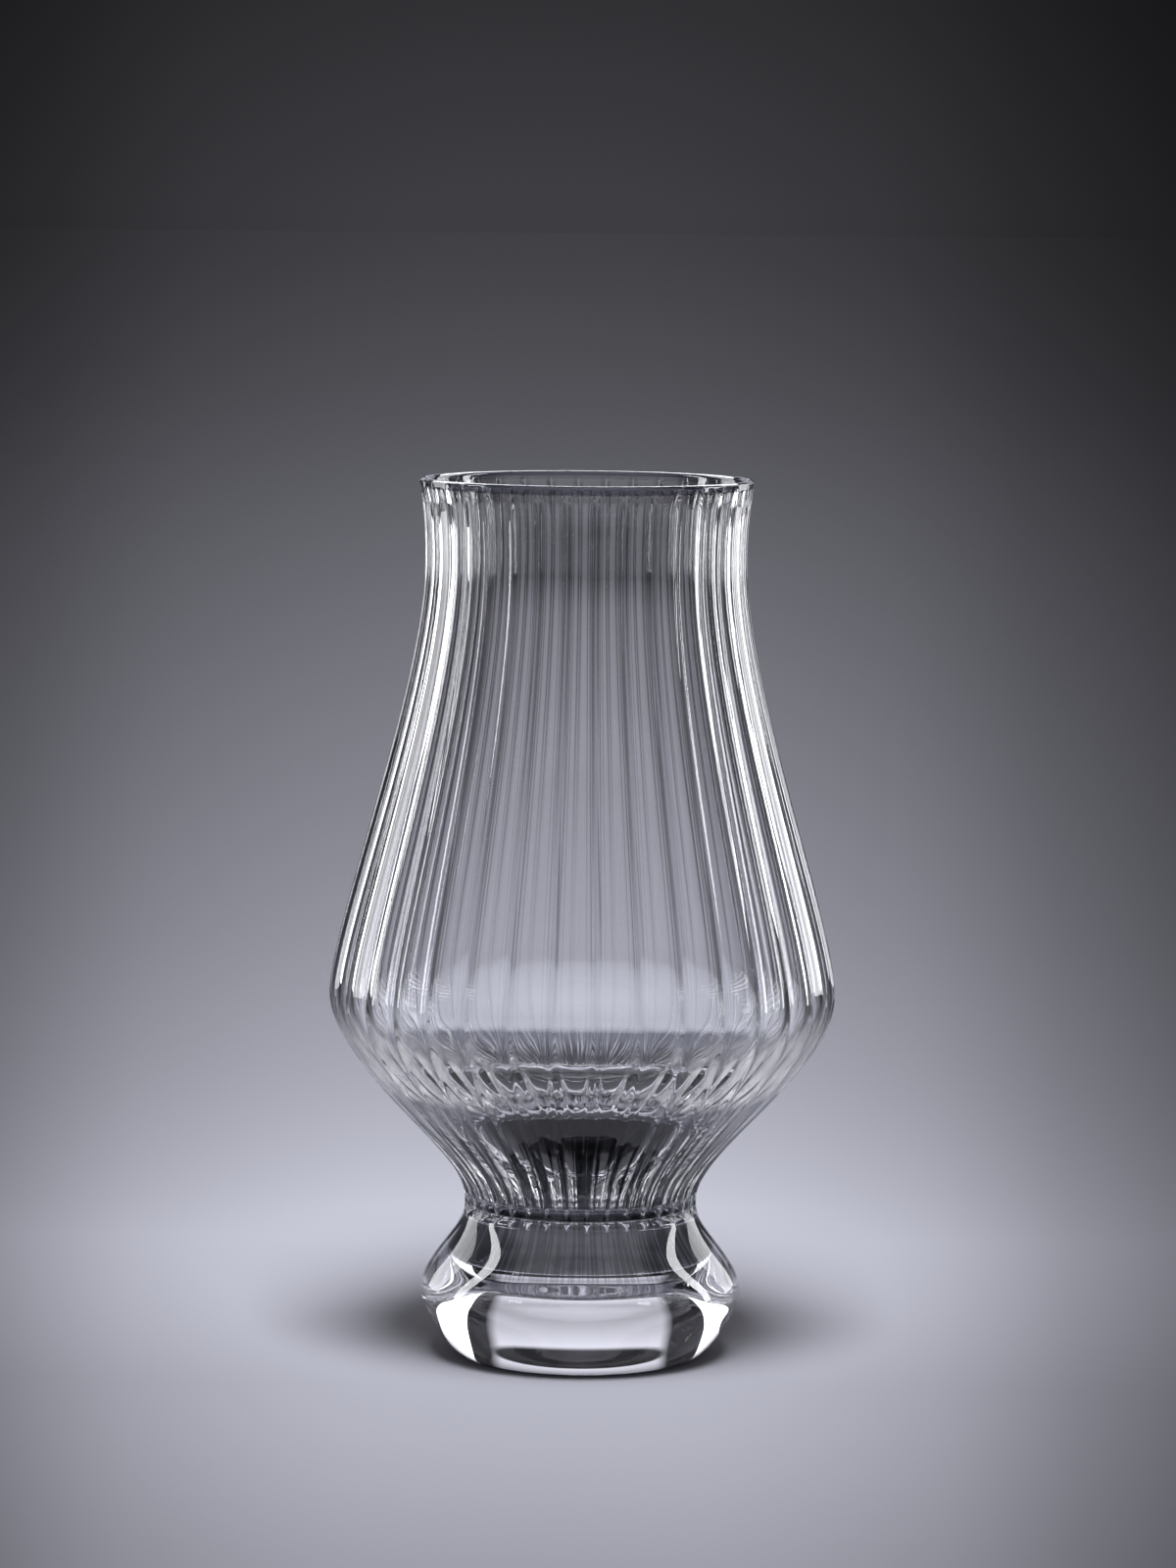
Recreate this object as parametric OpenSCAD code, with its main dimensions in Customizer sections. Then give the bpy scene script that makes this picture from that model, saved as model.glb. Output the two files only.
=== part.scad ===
// A fluted whisky glass: a blown bowl with a flared mouth, on a solid pressed foot.
// The two pieces are fused at the waist, where the flutes of the bowl end.
// Millimetres, +Z up, origin in the middle of the face that the glass stands on.
// An outline is a list of [radius, height] points that runs down the wall.

/* [Mouth and neck] */
// Height of the bowl, from the seam with the foot to the lip
bowl_h = 95.2; // [88:0.2:104]
// Diameter across the lip
rim_d = 43.4; // [40:0.2:50]
// Thickness of the wall at the lip, which is rounded over
rim_wall = 1.2; // [0.8:0.05:2]
// How far below the lip the neck is narrowest
neck_drop = 10.5; // [6:0.5:16]
// Outside diameter of the neck, where it is narrowest
neck_d = 41.8; // [38:0.2:46]
// Thickness of the wall at the neck
neck_wall = 1.3; // [0.9:0.05:2.2]
// Length over which the outside eases out of the neck into the shoulder
neck_ease = 16.5; // [8:0.5:24]

/* [Belly] */
// Height of the widest place of the bowl above the seam
belly_rise = 28.2; // [25:0.2:34]
// Outside diameter of the belly
belly_d = 66.1; // [60:0.5:74]
// Thickness of the wall at the belly
belly_wall = 1.6; // [1.2:0.05:2.6]
// Length over which the outside eases from the shoulder into the belly
shoulder_ease = 8.5; // [4:0.5:16]
// Length over which the outside eases from the belly into the cone below it
belly_ease = 10; // [6:0.5:13]

/* [Waist] */
// Outside diameter of the waist
waist_d = 30.4; // [27:0.2:35]
// Height of the upright band of the waist, above the seam
waist_band = 1.1; // [0.6:0.1:2.5]
// Length over which the outside eases from the cone into the waist
waist_ease = 6.5; // [3:0.5:9]

/* [Cavity] */
// Thickness of the glass between the seam and the bottom of the cavity
floor_wall = 9; // [7.5:0.1:12]
// Radius over which the bottom of the cavity eases off level
floor_ease = 4; // [2:0.5:14]
// Length over which the inside eases from the belly towards the bottom
cavity_ease = 10; // [5:0.5:12]

/* [Flutes] */
// Number of flutes round the bowl
flute_count = 36; // [24:1:40]
// Depth of a flute below the ridges beside it
flute_depth = 0.35; // [0.15:0.05:0.6]
// Share of a flute's width that the flank falls over, on either side of its floor
flank_share = 0.26; // [0.1:0.02:0.45]

/* [Foot] */
// Height of the foot, from the table to the seam with the bowl
foot_h = 19.8; // [17:0.2:26]
// Diameter of the foot at its edge
foot_d = 41.9; // [37:0.1:48]
// Height of the edge above the table
edge_h = 8.9; // [8:0.1:11]
// Length over which the outside eases from the waist into the foot
foot_neck_ease = 3.4; // [2:0.2:5]
// Length over which the outside eases into the edge from above
edge_ease = 3.8; // [1.4:0.2:5]
// Length over which the outside eases out of the edge below it
under_ease = 2.8; // [1:0.2:4]
// Diameter of the flat face that the glass stands on
base_d = 29.4; // [26:0.2:32]
// Radius over which the outside turns into the flat face
base_ease = 2.3; // [1:0.1:4]

/* [Hidden] */
glass_colour = [0.80, 0.86, 0.91, 0.6];
// Steps along each stretch of an outline
lip_steps = 4;
flare_steps = 3;
shoulder_steps = 11;
cone_steps = 10;
cavity_steps = 9;
foot_steps = 18;
// A flute is drawn as its ridge and the two sides of its floor, at these shares of its width
place_shares = [0, flank_share, 1 - flank_share];
columns = len(place_shares) * flute_count;
lip_r = rim_wall / 2;
rim_r = rim_d / 2;
lip_h = foot_h + bowl_h - lip_r;
neck_h = foot_h + bowl_h - neck_drop;
belly_h = foot_h + belly_rise;
waist_h = foot_h + waist_band;
floor_h = foot_h + floor_wall;

// A point of the curve from a to d whose ends head for b and come from c
function bezier(a, b, c, d, t) =
    pow(1 - t, 3) * a + 3 * pow(1 - t, 2) * t * b + 3 * (1 - t) * t * t * c + pow(t, 3) * d;

// The curve from a to d without its first point
function curve(a, b, c, d, steps) = [for (i = [1 : steps]) bezier(a, b, c, d, i / steps)];

// A stretch of wall that stands upright at its top and at its bottom
function upright_curve(top, bottom, top_ease, bottom_ease, steps) =
    curve(top, top - [0, top_ease], bottom + [0, bottom_ease], bottom, steps);

// The flare from the lip down to the neck, for the outside and for the inside
function flare(top, neck) =
    let (bend = [neck[0], (top[1] + neck[1]) / 2])
    curve(top, (top + bend) / 2, bend, neck, flare_steps);

// The rounding of the lip, from its outside over the top to its inside
function lip_outline() = [
    for (i = [0 : lip_steps])
        let (a = 180 * i / lip_steps)
        [rim_r - lip_r + lip_r * cos(a), lip_h + lip_r * sin(a)]
];

// The outside of the bowl along a ridge, from below the lip to the seam
function bowl_outside() =
    let (
        top = [rim_r, lip_h],
        neck = [neck_d / 2, neck_h],
        belly = [belly_d / 2, belly_h],
        waist = [waist_d / 2, waist_h],
        seam = [waist_d / 2, foot_h]
    )
    concat(
        flare(top, neck),
        upright_curve(neck, belly, neck_ease, shoulder_ease, shoulder_steps),
        upright_curve(belly, waist, belly_ease, waist_ease, cone_steps),
        [seam]
    );

// The inside of the bowl, from below the lip to the last ring round the middle of its floor
function bowl_inside() =
    let (
        top = [rim_r - rim_wall, lip_h],
        neck = [neck_d / 2 - neck_wall, neck_h],
        belly = [belly_d / 2 - belly_wall, belly_h],
        floor_middle = [0, floor_h],
        to_floor = curve(belly, belly - [0, cavity_ease], floor_middle + [floor_ease, 0],
            floor_middle, cavity_steps)
    )
    concat(
        flare(top, neck),
        upright_curve(neck, belly, neck_ease, shoulder_ease, shoulder_steps),
        [for (i = [0 : cavity_steps - 2]) to_floor[i]]
    );

// The depth of the flutes along the rounding of the lip, where they run out towards its top
function lip_depths() = [for (i = [0 : lip_steps]) flute_depth * max(0, cos(180 * i / lip_steps))];

// A ring of points at one height, where the floors of the flutes lie deeper than the ridges
function ring(place, depth) = [
    for (flute = [0 : flute_count - 1], share = place_shares)
        let (
            a = 360 * (flute + share) / flute_count - 90,
            r = place[0] - (share == 0 ? 0 : depth)
        )
        [r * cos(a), r * sin(a), place[1]]
];

// The triangles between rings that run from the seam's middle over the lip to the floor's middle
function skin(rings) = [
    for (k = [0 : rings - 2], i = [0 : columns - 1])
        let (
            n = (i + 1) % columns,
            a = k * columns + i,
            b = k * columns + n,
            c = a + columns,
            d = b + columns
        )
        each [[a, c, b], [b, c, d]]
];

// A fan of triangles from a middle point to a ring
function fan(middle, first, upward) = [
    for (i = [0 : columns - 1])
        let (n = (i + 1) % columns)
        upward ? [middle, first + n, first + i] : [middle, first + i, first + n]
];

// The bowl: fluted outside, plain inside, with a thick bottom
module bowl() {
    outside = bowl_outside();
    inside = bowl_inside();
    lip = lip_outline();
    depths = lip_depths();
    climb = [for (i = [len(outside) - 1 : -1 : 0]) ring(outside[i], flute_depth)];
    over = [for (i = [0 : lip_steps]) ring(lip[i], depths[i])];
    descent = [for (place = inside) ring(place, 0)];
    rings = concat(climb, over, descent);
    seam_middle = columns * len(rings);
    points = concat(
        [for (r = rings) each r],
        [[0, 0, foot_h], [0, 0, floor_h]]
    );
    faces = concat(
        skin(len(rings)),
        fan(seam_middle, 0, false),
        fan(seam_middle + 1, columns * (len(rings) - 1), true)
    );
    color(glass_colour)
        polyhedron(points, faces);
}

// The outside of the foot, from the seam down to the flat face
function foot_outside() =
    let (
        seam = [waist_d / 2, foot_h],
        edge = [foot_d / 2, edge_h],
        base = [base_d / 2, 0]
    )
    concat(
        [seam],
        upright_curve(seam, edge, foot_neck_ease, edge_ease, foot_steps),
        curve(edge, edge - [0, under_ease], base + [base_ease, 0], base, foot_steps)
    );

// The foot: solid glass, narrow at the waist and at the table, and widest at its edge
module foot() {
    color(glass_colour)
        rotate_extrude($fn = 180)
            polygon(concat([[0, 0], [0, foot_h]], foot_outside()));
}

bowl();
foot();
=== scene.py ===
# A fluted whisky glass of clear, colourless glass: a blown bowl fused to a solid foot.
import bpy
import math
from mathutils import Matrix, Vector


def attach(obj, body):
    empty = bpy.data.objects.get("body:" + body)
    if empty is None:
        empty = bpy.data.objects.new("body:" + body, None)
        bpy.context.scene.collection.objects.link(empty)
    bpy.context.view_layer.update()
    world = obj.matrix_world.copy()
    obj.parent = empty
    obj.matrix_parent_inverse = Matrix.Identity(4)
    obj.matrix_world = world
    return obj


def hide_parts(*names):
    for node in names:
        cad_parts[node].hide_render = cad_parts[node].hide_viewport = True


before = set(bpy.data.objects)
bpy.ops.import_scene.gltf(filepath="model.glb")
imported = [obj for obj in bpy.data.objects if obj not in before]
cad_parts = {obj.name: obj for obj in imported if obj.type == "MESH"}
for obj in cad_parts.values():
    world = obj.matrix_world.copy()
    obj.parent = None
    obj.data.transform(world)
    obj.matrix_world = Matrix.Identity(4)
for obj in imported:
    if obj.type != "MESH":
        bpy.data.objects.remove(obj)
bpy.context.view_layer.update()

MM = 0.001

# The outline of the glass, in millimetres. It is the outline of the solids.
FOOT_H = 19.8
BOWL_H = 95.2
RIM_D = 43.4
RIM_WALL = 1.2
NECK_DROP = 10.5
NECK_D = 41.8
NECK_WALL = 1.3
NECK_EASE = 16.5
BELLY_RISE = 28.2
BELLY_D = 66.1
BELLY_WALL = 1.6
SHOULDER_EASE = 8.5
BELLY_EASE = 10.0
WAIST_D = 30.4
WAIST_BAND = 1.1
WAIST_EASE = 6.5
FLOOR_WALL = 9.0
FLOOR_EASE = 4.0
CAVITY_EASE = 10.0
FOOT_D = 41.9
EDGE_H = 8.9
FOOT_NECK_EASE = 3.4
EDGE_EASE = 3.8
UNDER_EASE = 2.8
BASE_D = 29.4
BASE_EASE = 2.3

# The sizes that follow from these
LIP_R = RIM_WALL / 2
LIP_H = FOOT_H + BOWL_H - LIP_R
NECK_H = FOOT_H + BOWL_H - NECK_DROP
BELLY_H = FOOT_H + BELLY_RISE
WAIST_H = FOOT_H + WAIST_BAND
FLOOR_H = FOOT_H + FLOOR_WALL

# The flutes: hollowed panels between narrow rounded ribs, in millimetres
FLUTES = 36
RIB_HEIGHT = 0.22
PANEL_DEPTH = 0.08
FLUTE_DEPTH = RIB_HEIGHT + PANEL_DEPTH
# Half the width of a rib, as a share of half a flute
RIB_SHARE = 0.24
# How much deeper they are at the waist, and the share of their depth that is left at the lip
WAIST_DEEPER = 0.6
LIP_SHARE = 0.35
# The lengths over which they run out below the seam and grow out of the lip
SEAM_FADE = 0.9
LIP_FADE = 2.5

# The columns of points round the glass, and how much they crowd towards the ribs
POINTS_PER_FLUTE = 12
COLUMNS = FLUTES * POINTS_PER_FLUTE
RIB_CROWDING = 0.5

# Steps along each stretch of the outline
LIP_STEPS = 14
FLARE_STEPS = 12
SHOULDER_STEPS = 48
CONE_STEPS = 44
BAND_STEPS = 3
CAVITY_STEPS = 44
FOOT_STEPS = 72
UNDER_STEPS = 36


def bezier(a, b, c, d, t):
    """A point of the curve from a to d whose ends head for b and come from c."""
    s = 1 - t
    return tuple(s**3 * a[i] + 3 * s * s * t * b[i] + 3 * s * t * t * c[i] + t**3 * d[i] for i in (0, 1))


def curve(a, b, c, d, steps):
    """The curve from a to d without its first point."""
    return [bezier(a, b, c, d, i / steps) for i in range(1, steps + 1)]


def upright_curve(top, bottom, top_ease, bottom_ease, steps):
    """A stretch of wall that stands upright at its top and at its bottom."""
    return curve(top, (top[0], top[1] - top_ease), (bottom[0], bottom[1] + bottom_ease), bottom, steps)


def flare(top, neck):
    """The flare from the lip down to the neck."""
    bend = (neck[0], (top[1] + neck[1]) / 2)
    start = ((top[0] + bend[0]) / 2, (top[1] + bend[1]) / 2)
    return curve(top, start, bend, neck, FLARE_STEPS)


def bowl_outside():
    """The outside of the bowl along a rib, from below the lip to the seam."""
    top = (RIM_D / 2, LIP_H)
    neck = (NECK_D / 2, NECK_H)
    belly = (BELLY_D / 2, BELLY_H)
    waist = (WAIST_D / 2, WAIST_H)
    line = flare(top, neck)
    line += upright_curve(neck, belly, NECK_EASE, SHOULDER_EASE, SHOULDER_STEPS)
    line += upright_curve(belly, waist, BELLY_EASE, WAIST_EASE, CONE_STEPS)
    line += [(WAIST_D / 2, FOOT_H + WAIST_BAND * k / BAND_STEPS) for k in reversed(range(BAND_STEPS))]
    return line


def bowl_inside():
    """The inside of the bowl, from below the lip to the last ring round the middle of its floor."""
    top = (RIM_D / 2 - RIM_WALL, LIP_H)
    neck = (NECK_D / 2 - NECK_WALL, NECK_H)
    belly = (BELLY_D / 2 - BELLY_WALL, BELLY_H)
    below = (belly[0], BELLY_H - CAVITY_EASE)
    line = flare(top, neck)
    line += upright_curve(neck, belly, NECK_EASE, SHOULDER_EASE, SHOULDER_STEPS)
    line += curve(belly, below, (FLOOR_EASE, FLOOR_H), (0, FLOOR_H), CAVITY_STEPS)[:-1]
    return line


def lip_outline():
    """The rounding of the lip, from its outside over the top to its inside."""
    angles = [math.pi * i / LIP_STEPS for i in range(LIP_STEPS + 1)]
    middle = RIM_D / 2 - LIP_R
    return [(middle + LIP_R * math.cos(a), LIP_H + LIP_R * math.sin(a)) for a in angles]


def foot_outside():
    """The outside of the foot, from the seam down to the flat face."""
    seam = (WAIST_D / 2, FOOT_H)
    edge = (FOOT_D / 2, EDGE_H)
    base = (BASE_D / 2, 0)
    line = [seam]
    line += upright_curve(seam, edge, FOOT_NECK_EASE, EDGE_EASE, FOOT_STEPS)
    line += curve(edge, (edge[0], edge[1] - UNDER_EASE), (base[0] + BASE_EASE, 0), base, UNDER_STEPS)
    return line


def place_in_flute(i):
    """Where column i lies across its flute, from 0 to 1, with more columns near the ribs."""
    u = (i % POINTS_PER_FLUTE) / POINTS_PER_FLUTE
    return u - RIB_CROWDING * math.sin(2 * math.pi * u) / (2 * math.pi)


def hollow(i):
    """How deep column i lies in its flute, from 0 on a rib to 1 in the middle of its floor."""
    away = 1 - abs(1 - 2 * place_in_flute(i))
    rib = RIB_HEIGHT * (1 - math.exp(-(away / RIB_SHARE) ** 2))
    panel = PANEL_DEPTH * (1 - (1 - away) ** 2)
    return (rib + panel) / FLUTE_DEPTH


HOLLOWS = [hollow(i) for i in range(COLUMNS)]


def smooth_step(t):
    """From 0 to 1 as t goes from 0 to 1, level at both ends."""
    t = min(1.0, max(0.0, t))
    return t * t * (3 - 2 * t)


def depth_at(h):
    """Depth of the flutes at a height: most at the waist, less at the lip and none below the seam."""
    deeper = WAIST_DEEPER * math.exp(-(((h - WAIST_H) / WAIST_EASE) ** 2))
    at_lip = LIP_SHARE + (1 - LIP_SHARE) * smooth_step((LIP_H - h) / LIP_FADE)
    return FLUTE_DEPTH * (1 + deeper) * at_lip * smooth_step(1 - (FOOT_H - h) / SEAM_FADE)


def lip_depths():
    """Depth of the flutes along the rounding of the lip, where they run out towards its top."""
    at_lip = LIP_SHARE * FLUTE_DEPTH
    return [at_lip * max(0.0, math.cos(math.pi * i / LIP_STEPS)) for i in range(LIP_STEPS + 1)]


def ring(place, depth):
    """A ring of points in metres, at one place of the outline, with flutes of that depth."""
    points = []
    for i in range(COLUMNS):
        a = 2 * math.pi * (i // POINTS_PER_FLUTE + place_in_flute(i)) / FLUTES - math.pi / 2
        r = place[0] - depth * HOLLOWS[i]
        points.append((r * math.cos(a) * MM, r * math.sin(a) * MM, place[1] * MM))
    return points


def revolved(name, rings, first_h, last_h):
    """A closed piece through the rings, and the polygons of the two fans that shut it on the axis."""
    points = [p for r in rings for p in r]
    faces = []
    for k in range(len(rings) - 1):
        for i in range(COLUMNS):
            n = (i + 1) % COLUMNS
            a, b = k * COLUMNS + i, k * COLUMNS + n
            faces.append((a, b, b + COLUMNS, a + COLUMNS))
    wall = len(faces)
    first, last = len(points), len(points) + 1
    points += [(0, 0, first_h * MM), (0, 0, last_h * MM)]
    top = (len(rings) - 1) * COLUMNS
    for i in range(COLUMNS):
        n = (i + 1) % COLUMNS
        faces.append((first, n, i))
        faces.append((last, top + i, top + n))
    mesh = bpy.data.meshes.new(name)
    mesh.from_pydata(points, [], faces)
    mesh.update()
    for polygon in mesh.polygons:
        polygon.use_smooth = True
    piece = bpy.data.objects.new(name, mesh)
    bpy.context.scene.collection.objects.link(piece)
    return piece, range(wall, len(faces), 2), range(wall + 1, len(faces), 2)


def make_bowl():
    """The bowl, with the polygons of its face on the seam and those of its cavity."""
    outside = [ring(p, depth_at(p[1])) for p in reversed(bowl_outside())]
    lip = [ring(p, depth) for p, depth in zip(lip_outline(), lip_depths())]
    inside = [ring(p, 0) for p in bowl_inside()]
    piece, seam, bottom = revolved("blown_bowl", outside + lip + inside, FOOT_H, FLOOR_H)
    cavity_start = COLUMNS * (len(outside) + LIP_STEPS)
    return piece, seam, [*range(cavity_start, seam.start), *bottom]


def make_foot():
    """The foot, with the polygons of its face on the seam."""
    rings = [ring(p, depth_at(p[1])) for p in reversed(foot_outside())]
    piece, _, seam = revolved("solid_foot", rings, 0, FOOT_H)
    return piece, seam


# The colours of the glass. Light that crosses a face is multiplied by the square root of its tint.
# Besides GLASS_TINT and SHADOW_TINT, these colours are painted shade: they draw the lines and bands that a
# dark table shows in clear glass.
GLASS_TINT = (0.99, 0.992, 1.0)
EDGE_PAINTED_SHADE = (0.06, 0.06, 0.08)
LIP_PAINTED_SHADE = (0.10, 0.105, 0.13)
RIB_PAINTED_SHADE = (0.84, 0.85, 0.88)
UNDER_BELLY_PAINTED_SHADE = (0.24, 0.25, 0.29)
UNDER_BELLY_LINE_PAINTED_SHADE = (0.05, 0.053, 0.065)
CONE_LINE_PAINTED_SHADE = (0.006, 0.0065, 0.009)
CELL_PAINTED_SHADE = (0.16, 0.17, 0.20)
SHOULDER_PAINTED_SHADE = (0.34, 0.35, 0.39)
SHOULDER_LINE_PAINTED_SHADE = (0.09, 0.095, 0.115)
SHADOW_TINT = (0.14, 0.145, 0.16)
GLASS_IOR = 1.52

# The top or bottom of each painted shade, as the heights in millimetres where it starts and where it is full
LIP_BOTTOM = (LIP_H - 0.75, LIP_H - 0.45)
CONE_TOP = (BELLY_H - 10, BELLY_H - 13)
UNDER_BELLY_TOP = (BELLY_H - 9, BELLY_H - 12)
UNDER_BELLY_BOTTOM = (BELLY_H - 19, BELLY_H - 14)
CELLS_TOP = (FOOT_H + 2.1, FOOT_H + 1.7)
CELLS_BOTTOM = (FOOT_H + 0.1, FOOT_H + 0.3)
SHOULDER_BOTTOM = (EDGE_H + 1, FOOT_H - 5)
# The same across a rib, as distances from its middle in widths of a flute
RIB_FROM = (0.13, 0.03)
CONE_RIB_FROM = (0.22, 0.06)
CELL_RIB_FROM = (0.12, 0.05)
# The same for the painted dark edge of glass that is seen edge on, where 0 faces the eye and 1 is edge on
EDGE_FROM = (0.62, 0.94)

# The painted dark streaks that run up and down the cone and the foot's shoulder: how often they change round
# the axis, and in a metre of height
STREAKS_ROUND = 40.0
STREAKS_UP = 60.0
STREAK_DETAIL = 2.0
STREAK_FROM = (0.46, 0.50)

# The fine upright waves in the wall of the cone: their height, how many lie in a metre round the wall,
# and the share of that upward
WAVE_HEIGHT = 0.08 * MM
WAVE_SCALE = 700.0
WAVE_UPRIGHT_SHARE = 0.06
WAVE_DETAIL = 0.0
WAVES_TOP = (BELLY_H - 14, BELLY_H - 19)
WAVES_BOTTOM = (FOOT_H - 2, FOOT_H)


def empty_nodes(block):
    """The node tree of a new material or world, with nothing in it."""
    block.use_nodes = True
    block.node_tree.nodes.clear()
    return block.node_tree


def link(nt, output, socket):
    """Joins an output to a socket."""
    nt.links.new(output, socket)


def math_node(nt, operation, *values):
    """A Math node on sockets or numbers, and its output."""
    made = nt.nodes.new("ShaderNodeMath")
    made.operation = operation
    for socket, value in zip(made.inputs, values):
        if isinstance(value, (int, float)):
            socket.default_value = value
        else:
            link(nt, value, socket)
    return made.outputs[0]


def vector_node(nt, operation, *values):
    """A Vector Math node on sockets or triples, and its vector."""
    made = nt.nodes.new("ShaderNodeVectorMath")
    made.operation = operation
    for socket, value in zip(made.inputs, values):
        if isinstance(value, tuple):
            socket.default_value = value
        else:
            link(nt, value, socket)
    return made.outputs["Vector"]


def separated(nt, vector):
    """The three parts of a vector."""
    made = nt.nodes.new("ShaderNodeSeparateXYZ")
    link(nt, vector, made.inputs[0])
    return made.outputs


def fade(nt, value, start, full):
    """0 up to where it starts and 1 from where it is full, which may lie on either side."""
    made = nt.nodes.new("ShaderNodeMapRange")
    made.interpolation_type = "SMOOTHSTEP"
    made.inputs["From Min"].default_value = start
    made.inputs["From Max"].default_value = full
    link(nt, value, made.inputs["Value"])
    return made.outputs[0]


def noise(nt, place, scale, detail):
    """Noise by place, from 0 to 1 and mostly near 0.5."""
    made = nt.nodes.new("ShaderNodeTexNoise")
    made.inputs["Scale"].default_value = scale
    made.inputs["Detail"].default_value = detail
    link(nt, place, made.inputs["Vector"])
    return made.outputs["Fac"]


def mixed(nt, factor, first, second):
    """One colour or socket turning into another."""
    made = nt.nodes.new("ShaderNodeMix")
    made.data_type = "RGBA"
    link(nt, factor, made.inputs["Factor"])
    for name, value in (("A", first), ("B", second)):
        if isinstance(value, tuple):
            made.inputs[name].default_value = (*value, 1)
        else:
            link(nt, value, made.inputs[name])
    return made.outputs["Result"]


def mixed_shader(nt, factor, first, second):
    """One shader turning into another."""
    made = nt.nodes.new("ShaderNodeMixShader")
    link(nt, factor, made.inputs[0])
    link(nt, first.outputs[0], made.inputs[1])
    link(nt, second.outputs[0], made.inputs[2])
    return made.outputs[0]


def height_mask(nt, coordinates, start, full):
    """0 up to one height and 1 from the other, in millimetres."""
    return fade(nt, separated(nt, coordinates)["Z"], start * MM, full * MM)


def between(nt, coordinates, lower, upper):
    """1 between two heights, each given as where the mask starts there and where it is full."""
    above = height_mask(nt, coordinates, *lower)
    return math_node(nt, "MULTIPLY", above, height_mask(nt, coordinates, *upper))


def rib_mask(nt, coordinates, start, full):
    """1 along the ribs between the flutes and 0 across their floors, by the angle round the axis."""
    place = separated(nt, coordinates)
    angle = math_node(nt, "ARCTAN2", place["Y"], place["X"])
    turns = math_node(nt, "MULTIPLY", angle, FLUTES / (2 * math.pi))
    return fade(nt, math_node(nt, "PINGPONG", turns, 0.5), start, full)


def painted_streak_mask(nt, coordinates):
    """Where irregular fine painted dark streaks run up and down the wall."""
    outward = vector_node(nt, "NORMALIZE", vector_node(nt, "MULTIPLY", coordinates, (1.0, 1.0, 0.0)))
    up = vector_node(nt, "MULTIPLY", coordinates, (0.0, 0.0, STREAKS_UP))
    place = vector_node(nt, "MULTIPLY_ADD", outward, (STREAKS_ROUND,) * 3, up)
    return fade(nt, noise(nt, place, 1.0, STREAK_DETAIL), *STREAK_FROM)


def waves(nt, coordinates):
    """Fine upright waves, as a blown and turned wall has."""
    stretched = vector_node(nt, "MULTIPLY", coordinates, (1.0, 1.0, WAVE_UPRIGHT_SHARE))
    level = noise(nt, stretched, WAVE_SCALE, WAVE_DETAIL)
    return math_node(nt, "MULTIPLY", level, between(nt, coordinates, WAVES_BOTTOM, WAVES_TOP))


def cone_painted_shade(nt, coordinates, plain):
    """Painted shade on the cone: dark ribs and streaks, paler right under the belly, where the glass between
    them is painted dark too.
    """
    # Painted shade: a dark band right under the belly, whose lines are less dark than the cone's.
    under_belly = between(nt, coordinates, UNDER_BELLY_BOTTOM, UNDER_BELLY_TOP)
    panel = mixed(nt, under_belly, plain, UNDER_BELLY_PAINTED_SHADE)
    line = mixed(nt, under_belly, CONE_LINE_PAINTED_SHADE, UNDER_BELLY_LINE_PAINTED_SHADE)
    # Painted shade: near-black lines along the cone's ribs and streaks.
    ribbed = mixed(nt, rib_mask(nt, coordinates, *CONE_RIB_FROM), panel, line)
    return mixed(nt, painted_streak_mask(nt, coordinates), ribbed, line)


def bowl_painted_shade(nt, coordinates, plain):
    """Painted shade on the bowl: faint dark ribs, the dark lines of the cone, dark cells between the ribs of
    the waist, and a dark lip.
    """
    # Painted shade: faint dark lines along the ribs.
    ribbed = mixed(nt, rib_mask(nt, coordinates, *RIB_FROM), plain, RIB_PAINTED_SHADE)
    cone = cone_painted_shade(nt, coordinates, plain)
    # Painted shade: dark cells between the ribs of the waist.
    cells = mixed(nt, rib_mask(nt, coordinates, *CELL_RIB_FROM), CELL_PAINTED_SHADE, GLASS_TINT)
    wall = mixed(nt, height_mask(nt, coordinates, *CONE_TOP), ribbed, cone)
    wall = mixed(nt, between(nt, coordinates, CELLS_BOTTOM, CELLS_TOP), wall, cells)
    # Painted shade: a dark band round the lip.
    return mixed(nt, height_mask(nt, coordinates, *LIP_BOTTOM), wall, LIP_PAINTED_SHADE)


def foot_painted_shade(nt, coordinates, plain):
    """Painted shade on the foot: a dark, streaked shoulder over a plain edge."""
    # Painted shade: the foot's shoulder is darker, with darker streaks.
    shoulder = mixed(nt, painted_streak_mask(nt, coordinates), SHOULDER_PAINTED_SHADE, SHOULDER_LINE_PAINTED_SHADE)
    return mixed(nt, height_mask(nt, coordinates, *SHOULDER_BOTTOM), plain, shoulder)


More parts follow.
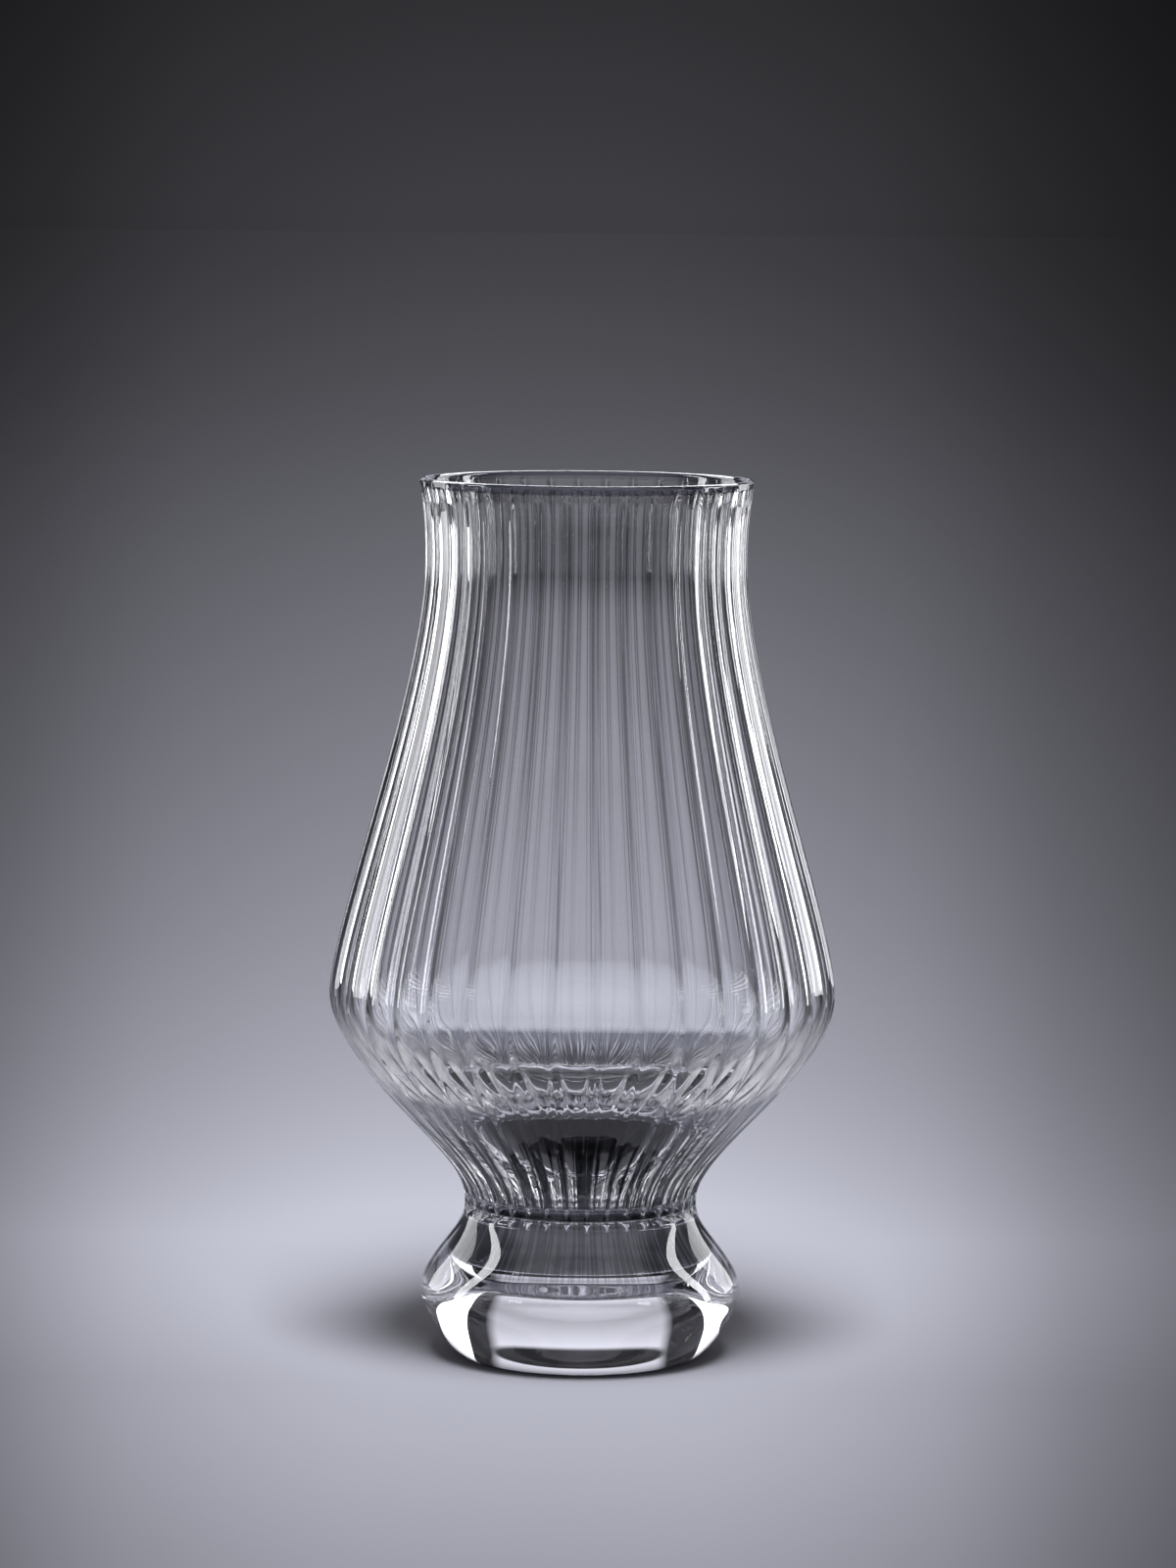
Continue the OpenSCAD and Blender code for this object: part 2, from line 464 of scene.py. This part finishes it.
def glass_material(name, paint_shade=None):
    """Clear glass with painted shade where it is seen edge on, and the painted shade that a function adds to
    it.
    """
    mat = bpy.data.materials.new(name)
    nt = empty_nodes(mat)
    out = nt.nodes.new("ShaderNodeOutputMaterial")
    glass = nt.nodes.new("ShaderNodeBsdfPrincipled")
    glass.inputs["Base Color"].default_value = (*GLASS_TINT, 1)
    glass.inputs["Roughness"].default_value = 0.0
    glass.inputs["IOR"].default_value = GLASS_IOR
    glass.inputs["Transmission Weight"].default_value = 1.0
    coordinates = nt.nodes.new("ShaderNodeTexCoord").outputs["Object"]
    turned_away = nt.nodes.new("ShaderNodeLayerWeight").outputs["Facing"]
    # Painted shade: the glass's colour turns near black where it is seen edge on.
    colour = mixed(nt, fade(nt, turned_away, *EDGE_FROM), GLASS_TINT, EDGE_PAINTED_SHADE)
    if paint_shade:
        colour = paint_shade(nt, coordinates, colour)
    link(nt, colour, glass.inputs["Base Color"])
    bump = nt.nodes.new("ShaderNodeBump")
    bump.inputs["Strength"].default_value = 1.0
    bump.inputs["Distance"].default_value = WAVE_HEIGHT
    link(nt, waves(nt, coordinates), bump.inputs["Height"])
    link(nt, bump.outputs[0], glass.inputs["Normal"])
    shadow = nt.nodes.new("ShaderNodeBsdfTransparent")
    shadow.inputs["Color"].default_value = (*SHADOW_TINT, 1)
    path = nt.nodes.new("ShaderNodeLightPath")
    link(nt, mixed_shader(nt, path.outputs["Is Shadow Ray"], glass, shadow), out.inputs["Surface"])
    return mat


def weld_material():
    """Nothing to be seen: the two pieces are one glass at the seam."""
    mat = bpy.data.materials.new("fused_weld")
    nt = empty_nodes(mat)
    out = nt.nodes.new("ShaderNodeOutputMaterial")
    clear = nt.nodes.new("ShaderNodeBsdfTransparent")
    link(nt, clear.outputs[0], out.inputs["Surface"])
    return mat


# The material slots of the pieces that follow the first, which is the glass of their outside
WELD, CAVITY = 1, 2


def dress(piece, polygons, slot):
    """Gives some polygons of a piece the material in one of its slots."""
    for k in polygons:
        piece.data.polygons[k].material_index = slot


bowl_glass = glass_material("fluted_glass", bowl_painted_shade)
foot_glass = glass_material("foot_glass", foot_painted_shade)
cavity_glass = glass_material("plain_glass")
weld = weld_material()

bowl, bowl_seam, cavity = make_bowl()
foot, foot_seam = make_foot()
for piece, glass, seam in ((bowl, bowl_glass, bowl_seam), (foot, foot_glass, foot_seam)):
    piece.data.materials.append(glass)
    piece.data.materials.append(weld)
    dress(piece, seam, WELD)
    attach(piece, "root")
bowl.data.materials.append(cavity_glass)
dress(bowl, cavity, CAVITY)
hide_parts("bowl")
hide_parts("foot")


# The camera of the photograph: its distance from the axis, its height above the table, and how it is turned
CAMERA_D = 0.720
CAMERA_H = 0.150
CAMERA_PITCH = math.radians(5.931)
CAMERA_ROLL = math.radians(0.55)
CAMERA_TURN = math.radians(3.2)
CAMERA_CLIP = (0.01, 100.0)
SENSOR_H = 24.0
# The photograph's size, its focal length, and where the glass's axis stands in it, in pixels
FRAME_W, FRAME_H = 1200, 1600
FOCAL_PX = 5673.0
AXIS_X_PX = 596.5


def make_camera():
    """The photograph's camera."""
    data = bpy.data.cameras.new("camera")
    data.sensor_fit = "VERTICAL"
    data.sensor_height = SENSOR_H
    data.lens = SENSOR_H * FOCAL_PX / FRAME_H
    data.clip_start, data.clip_end = CAMERA_CLIP
    data.shift_x = (FRAME_W / 2 - AXIS_X_PX) / FRAME_H
    camera = bpy.data.objects.new("camera", data)
    turn = Matrix.Rotation(-CAMERA_TURN, 4, "Z")
    place = Matrix.Translation((0, -CAMERA_D, CAMERA_H))
    tilt = Matrix.Rotation(math.pi / 2 - CAMERA_PITCH, 4, "X")
    roll = Matrix.Rotation(CAMERA_ROLL, 4, "Z")
    camera.matrix_world = turn @ place @ tilt @ roll
    bpy.context.scene.collection.objects.link(camera)
    bpy.context.scene.camera = camera


# The studio: a dim room, with one soft panel behind the glass and one in front, a pale floor with a painted
# pool of light, and lamps
FLOOR_TINT = (0.97, 0.97, 1.10)
LAMP_TINT = (0.96, 0.97, 1.0)
AMBIENT_TINT = (1.0, 1.0, 1.0)
AMBIENT_GLOW = 0.16
# The room's glow by how steeply a ray rises
ROOM_LEVELS = ((0.0, 0.0505), (0.035, 0.03232), (0.10, 0.02), (1.0, 0.02))
# The panels' glow by how steeply a ray rises, and by how nearly it points away from the camera or back to it
PANEL_LEVELS = ((0.05, 0.0), (0.065, 0.85), (0.16, 0.45), (0.27, 0.85), (0.29, 0.0))
PANEL_SIDES = ((0.89, 0.0), (0.92, 1.0))
FRONT_LEVELS = ((0.0, 0.12), (0.06, 0.45), (0.14, 0.90), (0.22, 1.0), (1.0, 1.0))
FRONT_SIDES = ((0.0, 0.0), (0.6, 1.0))
# How the floor's painted light and the room's glow sink to either side of the camera's view, by the distance
# aside over that ahead
SIDE_LEVELS = ((0.0, 1.0), (0.025, 1.0), (0.06, 0.78), (0.085, 0.49), (0.12, 0.22), (0.30, 0.10))
SIDE_SHIFT = 0.009
# The least distance ahead that is divided by
LEAST_AHEAD = 0.01
# The floor's painted pool of light: the level of its colour by its distance r from the axis, as r / (1 + r)
FLOOR_PAINTED_FALLOFF = (
    (0.04, 0.92), (0.12, 0.635), (0.20, 0.50), (0.30, 0.41), (0.42, 0.355), (0.55, 0.325),
    (0.68, 0.33), (0.79, 0.35), (0.88, 0.395), (0.95, 0.34), (1.0, 0.33),
)
# Its painted level by the distance ahead of the camera, and the least that its sides keep there
AHEAD_PAINTED_FALLOFF = ((0.55, 0.50), (0.70, 0.65), (0.80, 1.0))
NEAR_PAINTED_FALLOFF = ((0.20, 1.0), (0.50, 0.10), (1.0, 0.10))
# How far aside the floor's painted light starts to sink, and how far the floor reaches
FLOOR_SIDE_START = 0.01
FLOOR_REACH = 30.0
# The floor lies a hair below the glass, so that their faces don't coincide
FLOOR_DROP = 0.00002


def band(nt, value, points, style="LINEAR"):
    """A ramp of greys over a socket's value: points are (position, level)."""
    ramp = nt.nodes.new("ShaderNodeValToRGB")
    ramp.color_ramp.interpolation = style
    link(nt, value, ramp.inputs[0])
    elements = ramp.color_ramp.elements
    elements[0].position, elements[1].position = points[0][0], points[-1][0]
    elements[0].color = (points[0][1],) * 3 + (1,)
    elements[1].color = (points[-1][1],) * 3 + (1,)
    for position, level in points[1:-1]:
        made = elements.new(position)
        made.color = (level,) * 3 + (1,)
    return ramp.outputs[0]


def side_level(nt, x, ahead, start):
    """How bright the room, or the floor's painted light, still is at x, beside the middle of the camera's
    view.
    """
    shifted = math_node(nt, "ADD", x, math_node(nt, "MULTIPLY", ahead, SIDE_SHIFT))
    off = math_node(nt, "SUBTRACT", math_node(nt, "ABSOLUTE", shifted), start)
    return band(nt, math_node(nt, "DIVIDE", off, ahead), SIDE_LEVELS, "B_SPLINE")


def room_glow(nt):
    """What a ray that leaves the scene sees: the room, the panel behind the glass and the one in front."""
    turned = nt.nodes.new("ShaderNodeMapping")
    turned.vector_type = "VECTOR"
    turned.inputs["Rotation"].default_value = (0, 0, CAMERA_TURN)
    link(nt, nt.nodes.new("ShaderNodeTexCoord").outputs["Generated"], turned.inputs[0])
    x, y, z = separated(nt, turned.outputs[0])
    rise = math_node(nt, "MAXIMUM", z, 0.0)
    ahead = math_node(nt, "MAXIMUM", math_node(nt, "ABSOLUTE", y), LEAST_AHEAD)
    room = math_node(nt, "MULTIPLY", band(nt, rise, ROOM_LEVELS), side_level(nt, x, ahead, 0.0))
    square = math_node(nt, "ADD", math_node(nt, "MULTIPLY", x, x), math_node(nt, "MULTIPLY", y, y))
    away = math_node(nt, "DIVIDE", y, math_node(nt, "SQRT", square))
    panel = math_node(nt, "MULTIPLY", band(nt, rise, PANEL_LEVELS), band(nt, away, PANEL_SIDES))
    back = math_node(nt, "MULTIPLY", away, -1.0)
    front = math_node(nt, "MULTIPLY", band(nt, rise, FRONT_LEVELS), band(nt, back, FRONT_SIDES, "EASE"))
    return math_node(nt, "ADD", math_node(nt, "ADD", room, panel), front)


def make_world():
    """The room as the camera and the glass see it, and an even glow that lights the floor."""
    world = bpy.data.worlds.new("studio")
    bpy.context.scene.world = world
    nt = empty_nodes(world)
    out = nt.nodes.new("ShaderNodeOutputWorld")
    seen = nt.nodes.new("ShaderNodeBackground")
    seen.inputs["Color"].default_value = (*FLOOR_TINT, 1)
    link(nt, room_glow(nt), seen.inputs["Strength"])
    ambient = nt.nodes.new("ShaderNodeBackground")
    ambient.inputs["Color"].default_value = (*AMBIENT_TINT, 1)
    ambient.inputs["Strength"].default_value = AMBIENT_GLOW
    path = nt.nodes.new("ShaderNodeLightPath")
    shown = math_node(nt, "MAXIMUM", path.outputs["Is Camera Ray"], path.outputs["Is Glossy Ray"])
    shown = math_node(nt, "MAXIMUM", shown, path.outputs["Is Transmission Ray"])
    link(nt, mixed_shader(nt, shown, ambient, seen), out.inputs["Surface"])


def floor_material():
    """A pale matt floor with a painted pool of light: its colour is brightest round the glass and sinks to
    both sides.
    """
    mat = bpy.data.materials.new("floor")
    mat.use_nodes = True
    nt = mat.node_tree
    shader = nt.nodes["Principled BSDF"]
    coordinates = nt.nodes.new("ShaderNodeTexCoord").outputs["Object"]
    length = nt.nodes.new("ShaderNodeVectorMath")
    length.operation = "LENGTH"
    link(nt, coordinates, length.inputs[0])
    far = length.outputs["Value"]
    reach = math_node(nt, "DIVIDE", far, math_node(nt, "ADD", far, 1.0))
    place = separated(nt, coordinates)
    ahead = math_node(nt, "MAXIMUM", math_node(nt, "ADD", place["Y"], CAMERA_D), LEAST_AHEAD)
    sides = side_level(nt, place["X"], ahead, FLOOR_SIDE_START)
    sides = math_node(nt, "MAXIMUM", sides, band(nt, ahead, NEAR_PAINTED_FALLOFF))
    # Painted pool of light: the floor's colour is brightest round the glass and darker away from it and to
    # the sides.
    level = math_node(nt, "MULTIPLY", band(nt, reach, FLOOR_PAINTED_FALLOFF, "B_SPLINE"), sides)
    level = math_node(nt, "MULTIPLY", level, band(nt, ahead, AHEAD_PAINTED_FALLOFF))
    link(nt, vector_node(nt, "MULTIPLY", FLOOR_TINT, level), shader.inputs["Base Color"])
    shader.inputs["Specular IOR Level"].default_value = 0.0
    return mat


def make_floor():
    """A wide flat floor, turned round the axis as the camera is."""
    mesh = bpy.data.meshes.new("floor")
    r = FLOOR_REACH
    corners = [(-r, -r, -FLOOR_DROP), (r, -r, -FLOOR_DROP), (r, r, -FLOOR_DROP), (-r, r, -FLOOR_DROP)]
    mesh.from_pydata(corners, [], [(0, 1, 2, 3)])
    mesh.materials.append(floor_material())
    floor = bpy.data.objects.new("floor", mesh)
    floor.rotation_euler = (0, 0, -CAMERA_TURN)
    bpy.context.scene.collection.objects.link(floor)


# The lamps, in degrees round from the camera and in metres; size is the width and height of the face
SIDE_LAMP = dict(azimuth=100, distance=0.55, middle_h=0.26, size=(0.08, 0.60), glow=10.0, aim_h=0.06)
REAR_LAMP = dict(azimuth=133, distance=0.65, middle_h=0.26, size=(0.24, 0.60), glow=3.0, aim_h=0.06)
KEY_LAMP = dict(azimuth=0, distance=1.20, middle_h=2.60, size=(1.10, 1.10), glow=18.7, aim_h=0.0)
RIM_LAMP = dict(azimuth=180, distance=1.00, middle_h=0.85, size=(1.40, 0.50), glow=9.0, aim_h=0.11)


def softbox(name, side, azimuth, distance, middle_h, size, glow, aim_h):
    """An area lamp on the left, -1, or right, 1, aimed at a height of the axis. The camera doesn't see it."""
    data = bpy.data.lights.new(name, "AREA")
    data.shape = "RECTANGLE"
    data.size, data.size_y = size
    data.energy = glow * math.pi * size[0] * size[1]
    data.color = LAMP_TINT
    lamp = bpy.data.objects.new(name, data)
    a = math.radians(side * azimuth)
    lamp.location = (distance * math.sin(a), -distance * math.cos(a), middle_h)
    lamp.rotation_euler = (Vector((0, 0, aim_h)) - lamp.location).to_track_quat("-Z", "Y").to_euler()
    bpy.context.scene.collection.objects.link(lamp)
    lamp.visible_camera = False
    return lamp


def make_lamps():
    """The strips show in the glass, the key lamp lights the floor, and the rim lamp glints on the lip."""
    for side, word in ((-1, "left"), (1, "right")):
        for name, lamp in (("side_", SIDE_LAMP), ("rear_", REAR_LAMP)):
            strip = softbox(name + word, side, **lamp)
            strip.visible_diffuse = False
    key = softbox("key", 1, **KEY_LAMP)
    key.visible_glossy = False
    key.visible_transmission = False
    rim = softbox("rim", 1, **RIM_LAMP)
    rim.visible_diffuse = False
    rim.visible_transmission = False


make_camera()
make_world()
make_floor()
make_lamps()

# Enough bounces for the walls of the glass, and no caustics, which would only be noise
GLASS_BOUNCES = 24
GLOSSY_BOUNCES = 12
CLEAR_BOUNCES = 16
BRIGHTEST_BOUNCE = 6.0
scene = bpy.context.scene
scene.view_settings.view_transform = "Standard"
scene.cycles.max_bounces = GLASS_BOUNCES
scene.cycles.transmission_bounces = GLASS_BOUNCES
scene.cycles.glossy_bounces = GLOSSY_BOUNCES
scene.cycles.transparent_max_bounces = CLEAR_BOUNCES
scene.cycles.caustics_refractive = False
scene.cycles.caustics_reflective = False
scene.cycles.sample_clamp_indirect = BRIGHTEST_BOUNCE
